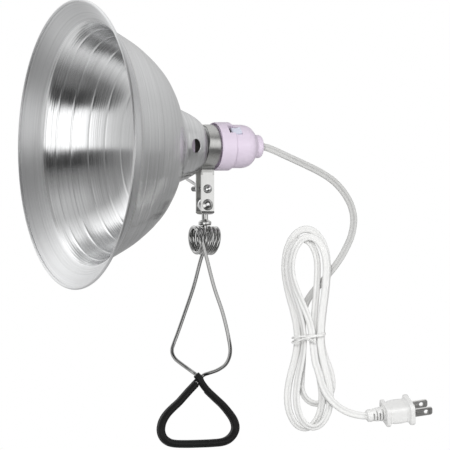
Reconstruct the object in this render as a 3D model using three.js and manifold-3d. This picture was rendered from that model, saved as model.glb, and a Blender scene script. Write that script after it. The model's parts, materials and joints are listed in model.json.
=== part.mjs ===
// Clamp-on heat lamp: spun reflector, plastic lampholder, steel band with a ball swivel,
// wire spring clamp with sleeved jaws, and a flat twin cord tied in a hank.
// Millimetres, +Z up. The origin is midway between the two jaws. +X runs along the lamp
// axis from the reflector's mouth to the cord, and +Y points to the back.

import * as THREE from 'three';
import { mergeVertices } from 'three/addons/utils/BufferGeometryUtils.js';
import Module from 'manifold-3d';

const wasm = await Module();
wasm.setup();

// ---- driving dimensions ----
const ROUND = 32; // sides of turned pieces
const BOWL_ROUND = 44; // sides of the reflector
const GAP = 0.3; // clearance between touching pieces

const RIM_X = -105.6; // plane of the reflector's mouth
const RIM_R = 108; // 8.5 in reflector
const SHEET = 0.8; // reflector wall
const NECK_R = 15.3; // outside of the reflector's neck
const VENT_R = 5.2;
const VENT_X = -18.4; // where a vent's axis crosses the shoulder
const VENT_OUT = 25.7; // and how far that is from the lamp axis
const VENT_LEAN = THREE.MathUtils.degToRad(24.5); // the vents stand square to the shoulder
const VENT_COUNT = 4;

const BAND_X = [-2.7, 6.6]; // band along the lamp axis
const BAND_R = [15.6, 16.4];
const EAR_X = [-5.2, 5.4];
const EAR_Y = [4.2, 5.2]; // inner and outer face of an ear
const EAR_END_Z = -50.7;
const SCREW_Z = -31.9;
const SCREW_R = 1.9;

const BALL_Z = -43.8; // ball centre below the lamp axis
const BALL_R = 5.6;
const STUD_R = 2.4;
const FLANGE_R = 4.85;
const FLANGE_Z = [-59.3, -55.8];
const SHANK_R = 1.7;

const WIRE_R = 1.4; // spring wire
const COIL_R = 9.5; // mean radius of the coils
const COIL_Z = -70.5; // coil axis
const COIL_TOPS = [-9.25, -6.3, -3.35, 3.35, 6.3, 9.25]; // wire centres along the coil axis, at the top
const COIL_LEAN = 1.87; // how far the turns lean to the middle at the bottom
const COIL_START = 0.04; // turns past the front where the front leg leaves
const CLAMP_TILT = THREE.MathUtils.degToRad(2.1); // the clamp hangs a little out of plumb
const SLEEVE_R = [1.9, 3.0];
const JAW_Y = 3.2; // half the distance between the jaws' centrelines
const JAW_APEX = -105.4; // the jaw's upper corner, below the coil axis
const JAW_BASE = -154; // the jaw's lower bar
const JAW_CORNER = 12.4; // radius of the lower corners
const JAW_HALF = 17.3; // from the middle to a corner's centre
const GRIP_DROP = 138; // the grip point below the coil axis

const BARREL_R = 14.2;
const COLLAR_R = 18.2;
const BODY_R = 16.3;
const COLLAR_X = [7.0, 19.1];
const CAP_END_X = 45.5;
const CORD_HOLE_R = 3.4;
const SHELL_R = [13.2, 13.5]; // screw shell
const SWITCH_ANGLE = THREE.MathUtils.degToRad(47); // above the front of the cap
const SWITCH_X = 24.6; // middle of the switch window
const ROCKER_R = 15.4; // the rocker's pivot from the lamp axis
const ROCKER_REST = THREE.MathUtils.degToRad(8);

const CORD_W = 5.4; // flat cord's width
const CORD_TURN = THREE.MathUtils.degToRad(-24.5); // the upright plane that the cord hangs in
const HANK_Y = [-38, -22]; // in the cord's plane frame
const HANK_X = 77.2;
const WAIST_Z = -144;
const WAIST_HALF = 11.4;

// ---- materials ----
function finish(color, roughness, metalness) {
  return new THREE.MeshStandardMaterial({ color, roughness, metalness });
}

const ALUMINIUM = [0xb9babb, 0.34, 1.0];
const NICKEL = [0xc9c9c6, 0.22, 1.0];
const CHROME = [0xd4d4d4, 0.12, 1.0];
const BRASS = [0xb8964c, 0.35, 1.0];
const LILAC = [0xdccfe0, 0.42, 0.0];
const PHENOLIC = [0x2a2624, 0.55, 0.0];
const VINYL = [0x1b1b1b, 0.4, 0.0];
const CORD_WHITE = [0xe4e4e2, 0.45, 0.0];
const PLUG_WHITE = [0xeaeae8, 0.4, 0.0];
const PALE = [0xe9eaf2, 0.35, 0.0];

const lamp = new THREE.Group(); // everything, about the lamp axis
const head = new THREE.Group(); // what swings on the ball
const clamp = new THREE.Group(); // the wire clamp, about its coil axis
const cord = new THREE.Group(); // the cord's own plane
lamp.add(head, clamp, cord);

function add(group, name, geometry, look) {
  const mesh = new THREE.Mesh(geometry, finish(...look));
  mesh.name = name;
  group.add(mesh);
  return mesh;
}

// ---- geometry helpers ----
function bare(geometry) {
  const copy = geometry.clone();
  copy.deleteAttribute('normal');
  copy.deleteAttribute('uv');
  return mergeVertices(copy, 1e-4);
}

// Twice-signed volume tells whether the faces point out; if they don't, each triangle is turned over.
function facingOut(geometry) {
  const g = bare(geometry);
  const p = g.attributes.position;
  const index = Array.from(g.index.array);
  const corner = [new THREE.Vector3(), new THREE.Vector3(), new THREE.Vector3()];
  let volume = 0;
  for (let i = 0; i < index.length; i += 3) {
    corner.forEach((v, k) => v.fromBufferAttribute(p, index[i + k]));
    volume += corner[0].dot(corner[1].clone().cross(corner[2]));
  }
  if (volume < 0) {
    for (let i = 0; i < index.length; i += 3) {
      [index[i + 1], index[i + 2]] = [index[i + 2], index[i + 1]];
    }
  }
  g.setIndex(index);
  g.computeVertexNormals();
  return g;
}

function manifold(geometry) {
  const g = facingOut(geometry);
  const mesh = new wasm.Mesh({
    numProp: 3,
    vertProperties: new Float32Array(g.attributes.position.array),
    triVerts: new Uint32Array(g.index.array),
  });
  mesh.merge();
  return new wasm.Manifold(mesh);
}

function geometryOf(solid) {
  const mesh = solid.getMesh();
  const g = new THREE.BufferGeometry();
  g.setAttribute('position', new THREE.BufferAttribute(mesh.vertProperties, 3));
  g.setIndex(new THREE.BufferAttribute(mesh.triVerts, 1));
  g.computeVertexNormals();
  return g;
}

function cut(geometry, ...tools) {
  return geometryOf(tools.reduce((body, tool) => body.subtract(manifold(tool)), manifold(geometry)));
}

function join(geometry, ...others) {
  return geometryOf(others.reduce((body, other) => body.add(manifold(other)), manifold(geometry)));
}

// A profile of [along, radius] pairs turned about X. It closes on itself unless it ends on the axis.
function turnedX(profile, sides = ROUND) {
  const onAxis = profile[0][1] === 0 && profile.at(-1)[1] === 0;
  const points = profile.map(([along, radius]) => new THREE.Vector2(radius, along));
  if (!onAxis) points.push(points[0].clone());
  return facingOut(new THREE.LatheGeometry(points, sides).rotateZ(-Math.PI / 2));
}

function turnedZ(profile, sides = ROUND) {
  return turnedX(profile, sides).rotateY(-Math.PI / 2);
}

function turnedY(profile, sides = ROUND) {
  return turnedX(profile, sides).rotateZ(Math.PI / 2);
}

// A wall of even thickness inside a profile of [along, radius] pairs.
function wall(outer, thickness) {
  const inner = outer.map(([x, r], i) => {
    const [x0, r0] = outer[Math.max(i - 1, 0)];
    const [x1, r1] = outer[Math.min(i + 1, outer.length - 1)];
    const length = Math.hypot(x1 - x0, r1 - r0);
    return [x + (thickness * (r1 - r0)) / length, r - (thickness * (x1 - x0)) / length];
  });
  return [...outer, ...inner.reverse()];
}

function barX(radius, x0, x1, y, z, sides = 16) {
  return new THREE.CylinderGeometry(radius, radius, x1 - x0, sides)
    .rotateZ(-Math.PI / 2)
    .translate((x0 + x1) / 2, y, z);
}

function barY(radius, y0, y1, x, z, sides = 20) {
  return new THREE.CylinderGeometry(radius, radius, y1 - y0, sides).translate(x, (y0 + y1) / 2, z);
}

function block([x0, x1], [y0, y1], [z0, z1]) {
  return new THREE.BoxGeometry(x1 - x0, y1 - y0, z1 - z0)
    .translate((x0 + x1) / 2, (y0 + y1) / 2, (z0 + z1) / 2);
}

function circleShape(radius, sides) {
  const points = [];
  for (let i = 0; i < sides; i += 1) {
    const a = (2 * Math.PI * i) / sides;
    points.push(new THREE.Vector2(radius * Math.cos(a), radius * Math.sin(a)));
  }
  return new THREE.Shape(points);
}

function tube(path, radius, steps, sides = 10) {
  return facingOut(new THREE.ExtrudeGeometry(circleShape(radius, sides), { steps, extrudePath: path }));
}

function hose(path, [inner, outer], steps, sides = 10) {
  const shape = circleShape(outer, sides);
  shape.holes.push(circleShape(inner, sides));
  return facingOut(new THREE.ExtrudeGeometry(shape, { steps, extrudePath: path }));
}

function smooth(points) {
  return new THREE.CatmullRomCurve3(points.map((p) => new THREE.Vector3(...p)), false, 'centripetal');
}

// Extrudes a shape drawn in X and Z from y0 to y1.
function slabXZ(shape, [y0, y1], curveSegments = 10) {
  return facingOut(
    new THREE.ExtrudeGeometry(shape, { depth: y1 - y0, bevelEnabled: false, curveSegments })
      .rotateX(Math.PI / 2)
      .translate(0, y1, 0),
  );
}

// ---- reflector ----
function reflector() {
  const outer = [
    [RIM_X, RIM_R], [-99.4, 100.8], [-93.2, 93.2], [-89.6, 90.0], [-77.5, 83.4], [-64.3, 75.4],
    [-54.0, 67.2], [-45.8, 59.0], [-39.3, 49.8], [-34.6, 40.4], [-31.2, 33.2], [-27.0, 29.3],
    [-20.7, 26.7], [-13.0, 23.2], [-6.6, 18.8], [-3.0, NECK_R], [BAND_X[1], NECK_R],
  ];
  const foot = VENT_X - VENT_OUT * Math.tan(VENT_LEAN);
  const vents = Array.from({ length: VENT_COUNT }, (_, i) =>
    barY(VENT_R, 0, 2 * VENT_OUT, 0, 0, 16)
      .rotateZ(-VENT_LEAN)
      .translate(foot, 0, 0)
      .rotateX((2 * Math.PI * i) / VENT_COUNT));
  return cut(turnedX(wall(outer, SHEET), BOWL_ROUND), ...vents);
}
add(head, 'reflector', reflector(), ALUMINIUM);

// ---- band, screw and wing nut ----
function bandOutline() {
  const [inner, outer] = BAND_R;
  const shape = new THREE.Shape();
  const outerFoot = Math.asin(EAR_Y[1] / outer);
  const innerFoot = Math.asin(EAR_Y[0] / inner);
  const down = -Math.PI / 2;
  shape.absarc(0, 0, outer, down + outerFoot, down - outerFoot + 2 * Math.PI, false);
  shape.lineTo(-EAR_Y[1], -20);
  shape.lineTo(-EAR_Y[0], -20);
  shape.absarc(0, 0, inner, down - innerFoot + 2 * Math.PI, down + innerFoot, true);
  shape.lineTo(EAR_Y[0], -20);
  shape.lineTo(EAR_Y[1], -20);
  shape.closePath();
  return shape;
}

function earOutline() {
  const [x0, x1] = EAR_X;
  const corner = 2.2;
  const shape = new THREE.Shape();
  shape.moveTo(x0, -18.2);
  shape.lineTo(x0, EAR_END_Z + corner);
  shape.absarc(x0 + corner, EAR_END_Z + corner, corner, Math.PI, 1.5 * Math.PI, false);
  shape.absarc(x1 - corner, EAR_END_Z + corner, corner, 1.5 * Math.PI, 2 * Math.PI, false);
  shape.lineTo(x1, -18.2);
  shape.closePath();
  return shape;
}

function band() {
  const ring = new THREE.ExtrudeGeometry(bandOutline(), {
    depth: BAND_X[1] - BAND_X[0],
    bevelEnabled: false,
    curveSegments: 24,
  });
  // drawn in Y and Z, pushed along X
  ring.rotateX(Math.PI / 2).rotateZ(Math.PI / 2).translate(BAND_X[0], 0, 0);
  const frontEar = slabXZ(earOutline(), [-EAR_Y[1], -EAR_Y[0]], 4);
  const backEar = slabXZ(earOutline(), EAR_Y, 4);
  const screwHole = barY(SCREW_R + GAP, -9, 9, 0, SCREW_Z);
  const seat = new THREE.SphereGeometry(BALL_R + GAP, 20, 12).translate(0, 0, BALL_Z);
  return cut(join(ring, frontEar, backEar), screwHole, seat);
}
add(head, 'mounting_band', band(), NICKEL);

const HEAD_Y = -(EAR_Y[1] + GAP);
const screw = turnedY([
  [HEAD_Y - 2.7, 0], [HEAD_Y - 2.45, 1.4], [HEAD_Y - 1.6, 2.7], [HEAD_Y - 0.6, 3.35], [HEAD_Y, 3.4],
  [HEAD_Y, SCREW_R], [20.6, SCREW_R], [21.0, SCREW_R - 0.4], [21.0, 0],
], 20).translate(0, 0, SCREW_Z);
const screwSlot = block([-4, 4], [HEAD_Y - 3.5, HEAD_Y - 1.6], [SCREW_Z - 0.4, SCREW_Z + 0.4]);
add(head, 'band_screw', cut(screw, screwSlot), CHROME);

function wingNut() {
  const y0 = EAR_Y[1] + GAP;
  const hub = turnedY([
    [y0, SCREW_R + GAP], [y0, 4.3], [y0 + 3.2, 3.9], [y0 + 5.2, 3.3], [y0 + 5.2, SCREW_R + GAP],
  ], 20);
  const outline = new THREE.Shape();
  outline.moveTo(2.6, y0 + 0.8);
  outline.lineTo(6.4, y0 + 1.6);
  outline.quadraticCurveTo(12.4, y0 + 4.6, 11.4, y0 + 8.2);
  outline.quadraticCurveTo(10.4, y0 + 10.4, 8.2, y0 + 8.6);
  outline.quadraticCurveTo(5.2, y0 + 5.4, 2.6, y0 + 4.8);
  outline.closePath();
  const wing = new THREE.ExtrudeGeometry(outline, { depth: 1.6, bevelEnabled: false, curveSegments: 6 })
    .translate(0, 0, -0.8);
  const other = wing.clone().rotateY(Math.PI);
  return join(hub, wing, other).rotateY(THREE.MathUtils.degToRad(40)).translate(0, 0, SCREW_Z);
}
add(head, 'wing_nut', wingNut(), CHROME);

// ---- ball and stud ----
const ball = new THREE.SphereGeometry(BALL_R, 20, 12).translate(0, 0, BALL_Z);
add(lamp, 'swivel_ball', facingOut(ball), CHROME);

// The neck's top is a cup about the ball, so both turn freely.
function stud() {
  const cupR = BALL_R + GAP;
  const cup = [];
  for (let i = 0; i <= 3; i += 1) {
    const r = (STUD_R * i) / 3;
    cup.push([BALL_Z - Math.sqrt(cupR ** 2 - r ** 2), r]);
  }
  const headTop = COIL_Z + COIL_R - WIRE_R - 1.0;
  return turnedZ([
    ...cup, [FLANGE_Z[1], STUD_R], [FLANGE_Z[1], FLANGE_R - 0.4], [FLANGE_Z[1] - 0.5, FLANGE_R],
    [FLANGE_Z[0] + 0.4, FLANGE_R], [FLANGE_Z[0], FLANGE_R - 0.5], [FLANGE_Z[0], SHANK_R],
    [headTop, SHANK_R], [headTop, 3.2], [headTop - 1.0, 2.8], [headTop - 1.7, 1.5], [headTop - 1.9, 0],
  ], 18);
}
add(lamp, 'swivel_stud', stud(), NICKEL);

// ---- wire clamp, drawn about its coil axis ----
// Place along the coil axis after a number of turns, counted from the front, upward.
function coilAcross(turns) {
  const place = Math.min(Math.max(turns - 0.25, 0), COIL_TOPS.length - 1);
  const low = Math.min(Math.floor(place), COIL_TOPS.length - 2);
  const between = THREE.MathUtils.lerp(COIL_TOPS[low], COIL_TOPS[low + 1], place - low);
  const pitch = COIL_TOPS[1] - COIL_TOPS[0];
  const beyond = Math.min(turns - 0.25, 0) + Math.max(turns - 0.25 - (COIL_TOPS.length - 1), 0);
  const across = between + beyond * pitch;
  const side = THREE.MathUtils.clamp(across / COIL_TOPS[3], -1, 1);
  return across - (side * COIL_LEAN * (1 - Math.sin(2 * Math.PI * turns))) / 2;
}

class Coil extends THREE.Curve {
  constructor(from, to) {
    super();
    this.from = from;
    this.to = to;
  }

  getPoint(t, target = new THREE.Vector3()) {
    const turns = this.from + (this.to - this.from) * t;
    const a = 2 * Math.PI * turns;
    return target.set(coilAcross(turns), -COIL_R * Math.cos(a), COIL_R * Math.sin(a));
  }
}

const COIL_END = COIL_TOPS.length - 0.5 - COIL_START;
const coil = new Coil(COIL_START, COIL_END);
coil.arcLengthDivisions = 1200;
add(clamp, 'spring_coils', tube(coil, WIRE_R, 78, 8), CHROME);

// The front leg: out of the left coil's front, bowed out to the right, in to the jaw's apex.
// The rear leg is the same wire turned half round about the upright line.
const legStart = coil.getPoint(0);
const legWay = coil.getTangent(0).negate();
function onward(distance) {
  return legStart.clone().addScaledVector(legWay, distance).toArray();
}
const LEG = [
  onward(0.8), onward(3.2), [-5.6, -12.4, -6.6], [-3.5, -13.8, -12.0], [2.6, -16.6, -35.0],
  [8.9, -17.8, -54.0], [14.4, -17.6, -72.0], [17.0, -16.0, -82.0], [17.1, -13.6, -88.0],
  [15.5, -10.4, -93.0], [11.6, -5.4, -97.0], [7.6, -0.8, -99.2], [4.4, 2.4, -100.9], [1.4, JAW_Y, -103.9],
];

class Arc extends THREE.Curve {
  constructor(x, z, y, radius, from, to) {
    super();
    Object.assign(this, { x, z, y, radius, from, to });
  }

  getPoint(t, target = new THREE.Vector3()) {
    const a = this.from + (this.to - this.from) * t;
    return target.set(this.x + this.radius * Math.cos(a), this.y, this.z + this.radius * Math.sin(a));
  }
}

// The rear jaw's centreline: down the left side, round both corners and up the right side.
const CORNER_Z = JAW_BASE + JAW_CORNER;
const SIDE_LEAN = (() => {
  // the side touches the corner's circle and passes the apex
  const rise = JAW_APEX - CORNER_Z;
  const span = Math.hypot(JAW_HALF, rise);
  return Math.atan2(JAW_HALF, rise) + Math.asin(JAW_CORNER / span);
})();
function jawSide(sign, fromApex, y) {
  const down = sign * fromApex * Math.sin(SIDE_LEAN);
  return new THREE.Vector3(down, y, JAW_APEX - fromApex * Math.cos(SIDE_LEAN));
}
const SIDE_LENGTH = Math.sqrt(JAW_HALF ** 2 + (JAW_APEX - CORNER_Z) ** 2 - JAW_CORNER ** 2);
const FREE_END = 4.4; // the free end stops short of the other side

function jawPath(start, end) {
  const path = new THREE.CurvePath();
  const turn = Math.PI / 2 + SIDE_LEAN;
  const down = -Math.PI / 2;
  path.add(new THREE.LineCurve3(jawSide(-1, start, JAW_Y), jawSide(-1, SIDE_LENGTH, JAW_Y)));
  path.add(new Arc(-JAW_HALF, CORNER_Z, JAW_Y, JAW_CORNER, down - turn, down));
  path.add(new THREE.LineCurve3(
    new THREE.Vector3(-JAW_HALF, JAW_Y, JAW_BASE),
    new THREE.Vector3(JAW_HALF, JAW_Y, JAW_BASE),
  ));
  path.add(new Arc(JAW_HALF, CORNER_Z, JAW_Y, JAW_CORNER, down, down + turn));
  path.add(new THREE.LineCurve3(jawSide(1, SIDE_LENGTH, JAW_Y), jawSide(1, end, JAW_Y)));
  return path;
}

function wirePath() {
  const path = new THREE.CurvePath();
  const leg = smooth([...LEG, jawSide(-1, 2.0, JAW_Y).toArray(), jawSide(-1, 5.0, JAW_Y).toArray()]);
  path.add(leg);
  jawPath(5.0, FREE_END + 1.5).curves.forEach((c) => path.add(c));
  return path;
}

const wireSteps = 66;
const sleeveSteps = 40;
const frontWire = tube(wirePath(), WIRE_R, wireSteps, 8);
const rearSleeve = hose(jawPath(1.2, FREE_END), SLEEVE_R, sleeveSteps, 8);
add(clamp, 'front_leg_wire', frontWire, CHROME);
add(clamp, 'rear_jaw_sleeve', rearSleeve, VINYL);
add(clamp, 'rear_leg_wire', frontWire.clone().rotateZ(Math.PI), CHROME);
add(clamp, 'front_jaw_sleeve', rearSleeve.clone().rotateZ(Math.PI), VINYL);

const tiltPivot = new THREE.Vector3(0, 0, COIL_R); // the clamp leans about the stud, at the coils' top
clamp.rotation.y = CLAMP_TILT;
clamp.position.copy(tiltPivot).sub(tiltPivot.clone().applyEuler(clamp.rotation));
clamp.position.z += COIL_Z;

// ---- lampholder shells ----
const front = turnedX([
  [-24, SHELL_R[1] + GAP], [-24, BARREL_R], [COLLAR_X[0], BARREL_R], [COLLAR_X[0], COLLAR_R - 0.6],
  [COLLAR_X[0] + 0.6, COLLAR_R], [COLLAR_X[1] - 0.4, COLLAR_R], [COLLAR_X[1], COLLAR_R - 0.4],
  [COLLAR_X[1], BODY_R + 0.4], [9.4, BODY_R + 0.4], [9.4, SHELL_R[1] + GAP],
]);
add(head, 'lampholder_collar', front, LILAC);

function switchFrame(geometry) {
  // drawn with +Z pointing out of the cap, then turned to the switch's place
  return geometry.rotateX(Math.PI / 2 - SWITCH_ANGLE);
}

function cap() {
  const outer = [
    [10.6, BODY_R], [31.0, BODY_R], [33.4, 15.7], [35.4, 14.4], [37.2, 12.6], [39.2, 10.2], [40.4, 8.9],
    [CAP_END_X - 0.8, 8.7], [CAP_END_X, 7.9], [CAP_END_X, CORD_HOLE_R],
    [43.6, CORD_HOLE_R], [43.6, 7.1], [39.4, 7.1], [38.0, 9.0], [36.0, 11.2], [34.4, 12.9],
    [32.6, 14.0], [30.6, 14.6], [10.6, 14.6],
  ];
  const window = switchFrame(block([SWITCH_X - 4.7, SWITCH_X + 4.7], [-3.8, 3.8], [10, 20]));
  return cut(turnedX(outer), window);
}
add(head, 'lampholder_cap', cap(), LILAC);

// ---- switch ----
const switchBody = switchFrame(block([18.0, 31.0], [-4.3, 4.3], [7.0, 13.0]));
add(head, 'switch_body', facingOut(switchBody), PHENOLIC);

function rocker() {
  const side = new THREE.Shape();
  side.moveTo(-4.2, -0.2);
  side.lineTo(0, -1.0);
  side.lineTo(4.2, -0.2);
  side.lineTo(4.2, 1.7);
  side.quadraticCurveTo(0, 0.7, -4.2, 1.7);
  side.closePath();
  const turned = slabXZ(side, [-3.3, 3.3], 8).rotateY(-ROCKER_REST);
  return switchFrame(turned.translate(SWITCH_X, 0, ROCKER_R));
}
add(head, 'switch_rocker', rocker(), PALE);

// ---- contacts and wiring inside the lampholder ----
const shellBottom = 2.6;
add(head, 'screw_shell', turnedX([
  [-22.5, SHELL_R[0]], [-22.5, SHELL_R[1]], [shellBottom, SHELL_R[1]], [shellBottom, 6.4],
  [shellBottom - 0.4, 6.4], [shellBottom - 0.4, SHELL_R[0]],
]), BRASS);

const baseX = [shellBottom + GAP, 9.0];
const TERMINALS = [['terminal_screw_hot', 8.2], ['terminal_screw_neutral', -8.2]];
const CONTACT_Z = -4.4; // the tongue's foot and rivet, below the lamp axis
const basePlate = barX(SHELL_R[1], ...baseX, 0, 0, ROUND);
const terminalHoles = TERMINALS.map(([, y]) => barX(1.9, 5, 12, y, -3));
const rivetHole = barX(1.2, 0, 12, 0, CONTACT_Z);
add(head, 'insulating_base', cut(basePlate, rivetHole, ...terminalHoles), PHENOLIC);

const PAD_TOP = 2.6;

// A bent strip: its foot lies on the base, and its pad faces the bulb on the lamp axis.
function contactTongue() {
  const thick = 0.5;
  const foot = baseX[0] - GAP;
  const pad = -0.8;
  const strip = new THREE.Shape();
  strip.moveTo(foot, CONTACT_Z - 1.6);
  strip.lineTo(foot, CONTACT_Z + 2.2);
  strip.lineTo(pad, -1.4);
  strip.lineTo(pad, PAD_TOP);
  strip.lineTo(pad - thick, PAD_TOP);
  strip.lineTo(pad - thick, -1.95);
  strip.lineTo(foot - thick, CONTACT_Z + 1.7);
  strip.lineTo(foot - thick, CONTACT_Z - 1.6);
  strip.closePath();
  return cut(slabXZ(strip, [-1.8, 1.8]), barX(1.2, 0, 6, 0, CONTACT_Z));
}
add(head, 'center_contact', contactTongue(), BRASS);

const rivet = turnedX([
  [1.1, 0], [1.2, 1.2], [1.8, 1.5], [1.8, 0.9], [9.3, 0.9], [9.3, 1.8], [9.9, 1.5], [10.1, 0],
], 12).translate(0, 0, CONTACT_Z);
add(head, 'contact_rivet', rivet, BRASS);

TERMINALS.forEach(([name, y]) => {
  const binding = turnedX([
    [5.4, 0], [5.4, 1.6], [9.3, 1.6], [9.3, 3.1], [10.6, 3.1], [11.2, 2.4], [11.2, 0],
  ], 16).translate(0, y, -3);
  add(head, name, cut(binding, block([10.7, 12], [y - 4, y + 4], [-3.35, -2.65])), BRASS);
});

const LEADS = {
  lead_neutral: [
    [11.6, -8.2, -3], [14, -8.4, -3.4], [20, -8.6, -5], [28, -7.0, -5.4], [34, -3.4, -3], [39.2, -1.3, -0.2],
  ],
  lead_hot: [[34.2, -4.6, 6.2], [35.2, -3.4, 4.8], [36.8, -0.8, 2.4], [39.2, 1.2, 0.2]],
  lead_switched: [
    [11.6, 8.2, -3], [14, 8.4, -2.6], [20, 9, 0.6], [27, 8.4, 4], [32, 4.2, 7.2], [32.6, 1.6, 7.6],
  ],
};
Object.entries(LEADS).forEach(([name, route]) => {
  add(head, name, tube(smooth(route), 0.9, 14, 8), name === 'lead_neutral' ? CORD_WHITE : PHENOLIC);
});

add(head, 'cord_grip_bush', turnedX([
  [39.8, 3.1], [39.8, 6.0], [40.4, 6.6], [43.2, 6.6], [43.2, 3.1],
], 24), PHENOLIC);

// ---- cord, hank, tie and plug, in the cord's plane frame ----
cord.rotation.z = CORD_TURN;

const DROP = [
  [40.5, 18.46, 0], [44.0, 20.06, -0.2], [48.0, 21.7, -1.3], [53.2, 22.9, -3.4], [59.4, 22.6, -6.3],
  [66.0, 21.2, -9.3], [74.9, 18.6, -13.5], [86.9, 15.2, -19.5], [95.9, 12.2, -25.5], [101.8, 9.0, -31.4],
  [106.6, 5.6, -38.2], [109.8, 2.4, -45.0], [111.6, -2.2, -54.6], [109.8, -8.4, -66.6],
  [104.8, -14.2, -78.0], [98.9, -19.0, -87.6], [97.0, -20.5, -90.4],
];
const PLUG_LEAD = [
  [98.6, -32.0, -193.4], [101.6, -32.5, -195.8], [105.6, -32.8, -198.2], [111.0, -32.6, -200.2],
  [116.6, -31.8, -201.3], [120.6, -31.0, -201.6],
];

const CORD_SIDES = 8;
add(cord, 'cord_drop', tube(smooth(DROP), CORD_W / 2, 34, CORD_SIDES), CORD_WHITE);
add(cord, 'cord_plug_lead', tube(smooth(PLUG_LEAD), CORD_W / 2, 8, CORD_SIDES), CORD_WHITE);

function hankOutline() {
  const middle = HANK_X;
  const top = { z: -78.6, r: 18.4 };
  const bottom = { z: -195.4, r: 18.6 };
  const shape = new THREE.Shape();
  shape.absarc(middle, top.z, top.r, 0, Math.PI, false);
  shape.bezierCurveTo(
    middle - top.r, top.z - 26, middle - WAIST_HALF, WAIST_Z + 22, middle - WAIST_HALF, WAIST_Z);
  shape.bezierCurveTo(
    middle - WAIST_HALF, WAIST_Z - 18, middle - bottom.r, bottom.z + 22, middle - bottom.r, bottom.z);
  shape.absarc(middle, bottom.z, bottom.r, Math.PI, 2 * Math.PI, false);
  shape.bezierCurveTo(
    middle + bottom.r, bottom.z + 22, middle + WAIST_HALF, WAIST_Z - 18, middle + WAIST_HALF, WAIST_Z);
  shape.bezierCurveTo(
    middle + WAIST_HALF, WAIST_Z + 22, middle + top.r, top.z - 26, middle + top.r, top.z);
  return shape;
}
add(cord, 'cord_hank', slabXZ(hankOutline(), HANK_Y, 10), CORD_WHITE);

function tie() {
  const half = WAIST_HALF + 0.6;
  const middleY = (HANK_Y[0] + HANK_Y[1]) / 2;
  const depth = (HANK_Y[1] - HANK_Y[0]) / 2 + 0.4;
  const loop = (grow, height) => block(
    [HANK_X - half - grow, HANK_X + half + grow],
    [middleY - depth - grow, middleY + depth + grow],
    [WAIST_Z - height, WAIST_Z + height],
  );
  return cut(loop(1.1, 3), loop(0, 4));
}
add(cord, 'hank_tie', tie(), PLUG_WHITE);

// The plug is drawn along +X from its strain relief to its blades, which lie 12.7 apart in Y.
const plug = new THREE.Group();
cord.add(plug);
plug.position.set(121.3, -30.84, -201.6);
const [PLUG_ROLL, PLUG_PITCH, PLUG_YAW] = [25, -4, 12].map(THREE.MathUtils.degToRad);
plug.rotation.set(PLUG_ROLL, PLUG_PITCH, PLUG_YAW, 'ZYX');

const relief = turnedX([
  [0, 0], [0, 3.9], [3.0, 4.3], [13.4, 5.0], [13.4, 0],
], 16).scale(1, 1, 0.86);
add(plug, 'plug_strain_relief', facingOut(relief), PLUG_WHITE);

function plugBody() {
  const outline = new THREE.Shape();
  outline.moveTo(13.7, -7.0);
  outline.quadraticCurveTo(13.7, -9.4, 16.0, -9.6);
  outline.lineTo(26.5, -9.0);
  outline.quadraticCurveTo(29.0, -9.2, 30.6, -11.0);
  outline.lineTo(36.6, -11.0);
  outline.lineTo(36.6, 11.0);
  outline.lineTo(30.6, 11.0);
  outline.quadraticCurveTo(29.0, 9.2, 26.5, 9.0);
  outline.lineTo(16.0, 9.6);
  outline.quadraticCurveTo(13.7, 9.4, 13.7, 7.0);
  outline.closePath();
  return new THREE.ExtrudeGeometry(outline, {
    depth: 11,
    bevelThickness: 1.2,
    bevelSize: 1.0,
    bevelOffset: -1.0,
    bevelSegments: 2,
    curveSegments: 5,
  }).translate(0, 0, -5.5);
}

function blade(y) {
  const outline = new THREE.Shape();
  outline.moveTo(30.0, -3.15);
  outline.lineTo(51.4, -3.15);
  outline.lineTo(53.6, -1.6);
  outline.lineTo(53.6, 1.6);
  outline.lineTo(51.4, 3.15);
  outline.lineTo(30.0, 3.15);
  outline.closePath();
  const hole = new THREE.Path();
  hole.absarc(48.6, 0, 1.5, 0, 2 * Math.PI, true);
  outline.holes.push(hole);
  return slabXZ(outline, [y - 0.75, y + 0.75], 6);
}

const BLADES = [['plug_blade_hot', -6.35], ['plug_blade_neutral', 6.35]];
const slots = BLADES.map(([, y]) => block([29.7, 40], [y - 1.05, y + 1.05], [-3.45, 3.45]));
add(plug, 'plug_body', cut(plugBody(), ...slots), PLUG_WHITE);
BLADES.forEach(([name, y]) => add(plug, name, blade(y), NICKEL));

// ---- place the origin midway between the jaws ----
lamp.updateMatrixWorld(true);
const grip = new THREE.Vector3(0, 0, -GRIP_DROP).applyMatrix4(clamp.matrixWorld);
lamp.position.copy(grip).negate();

const object = new THREE.Group();
object.add(lamp);
export default object;
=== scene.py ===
import json
import math

import bmesh
import bpy
import numpy as np
from mathutils import Euler, Matrix, Vector


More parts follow.
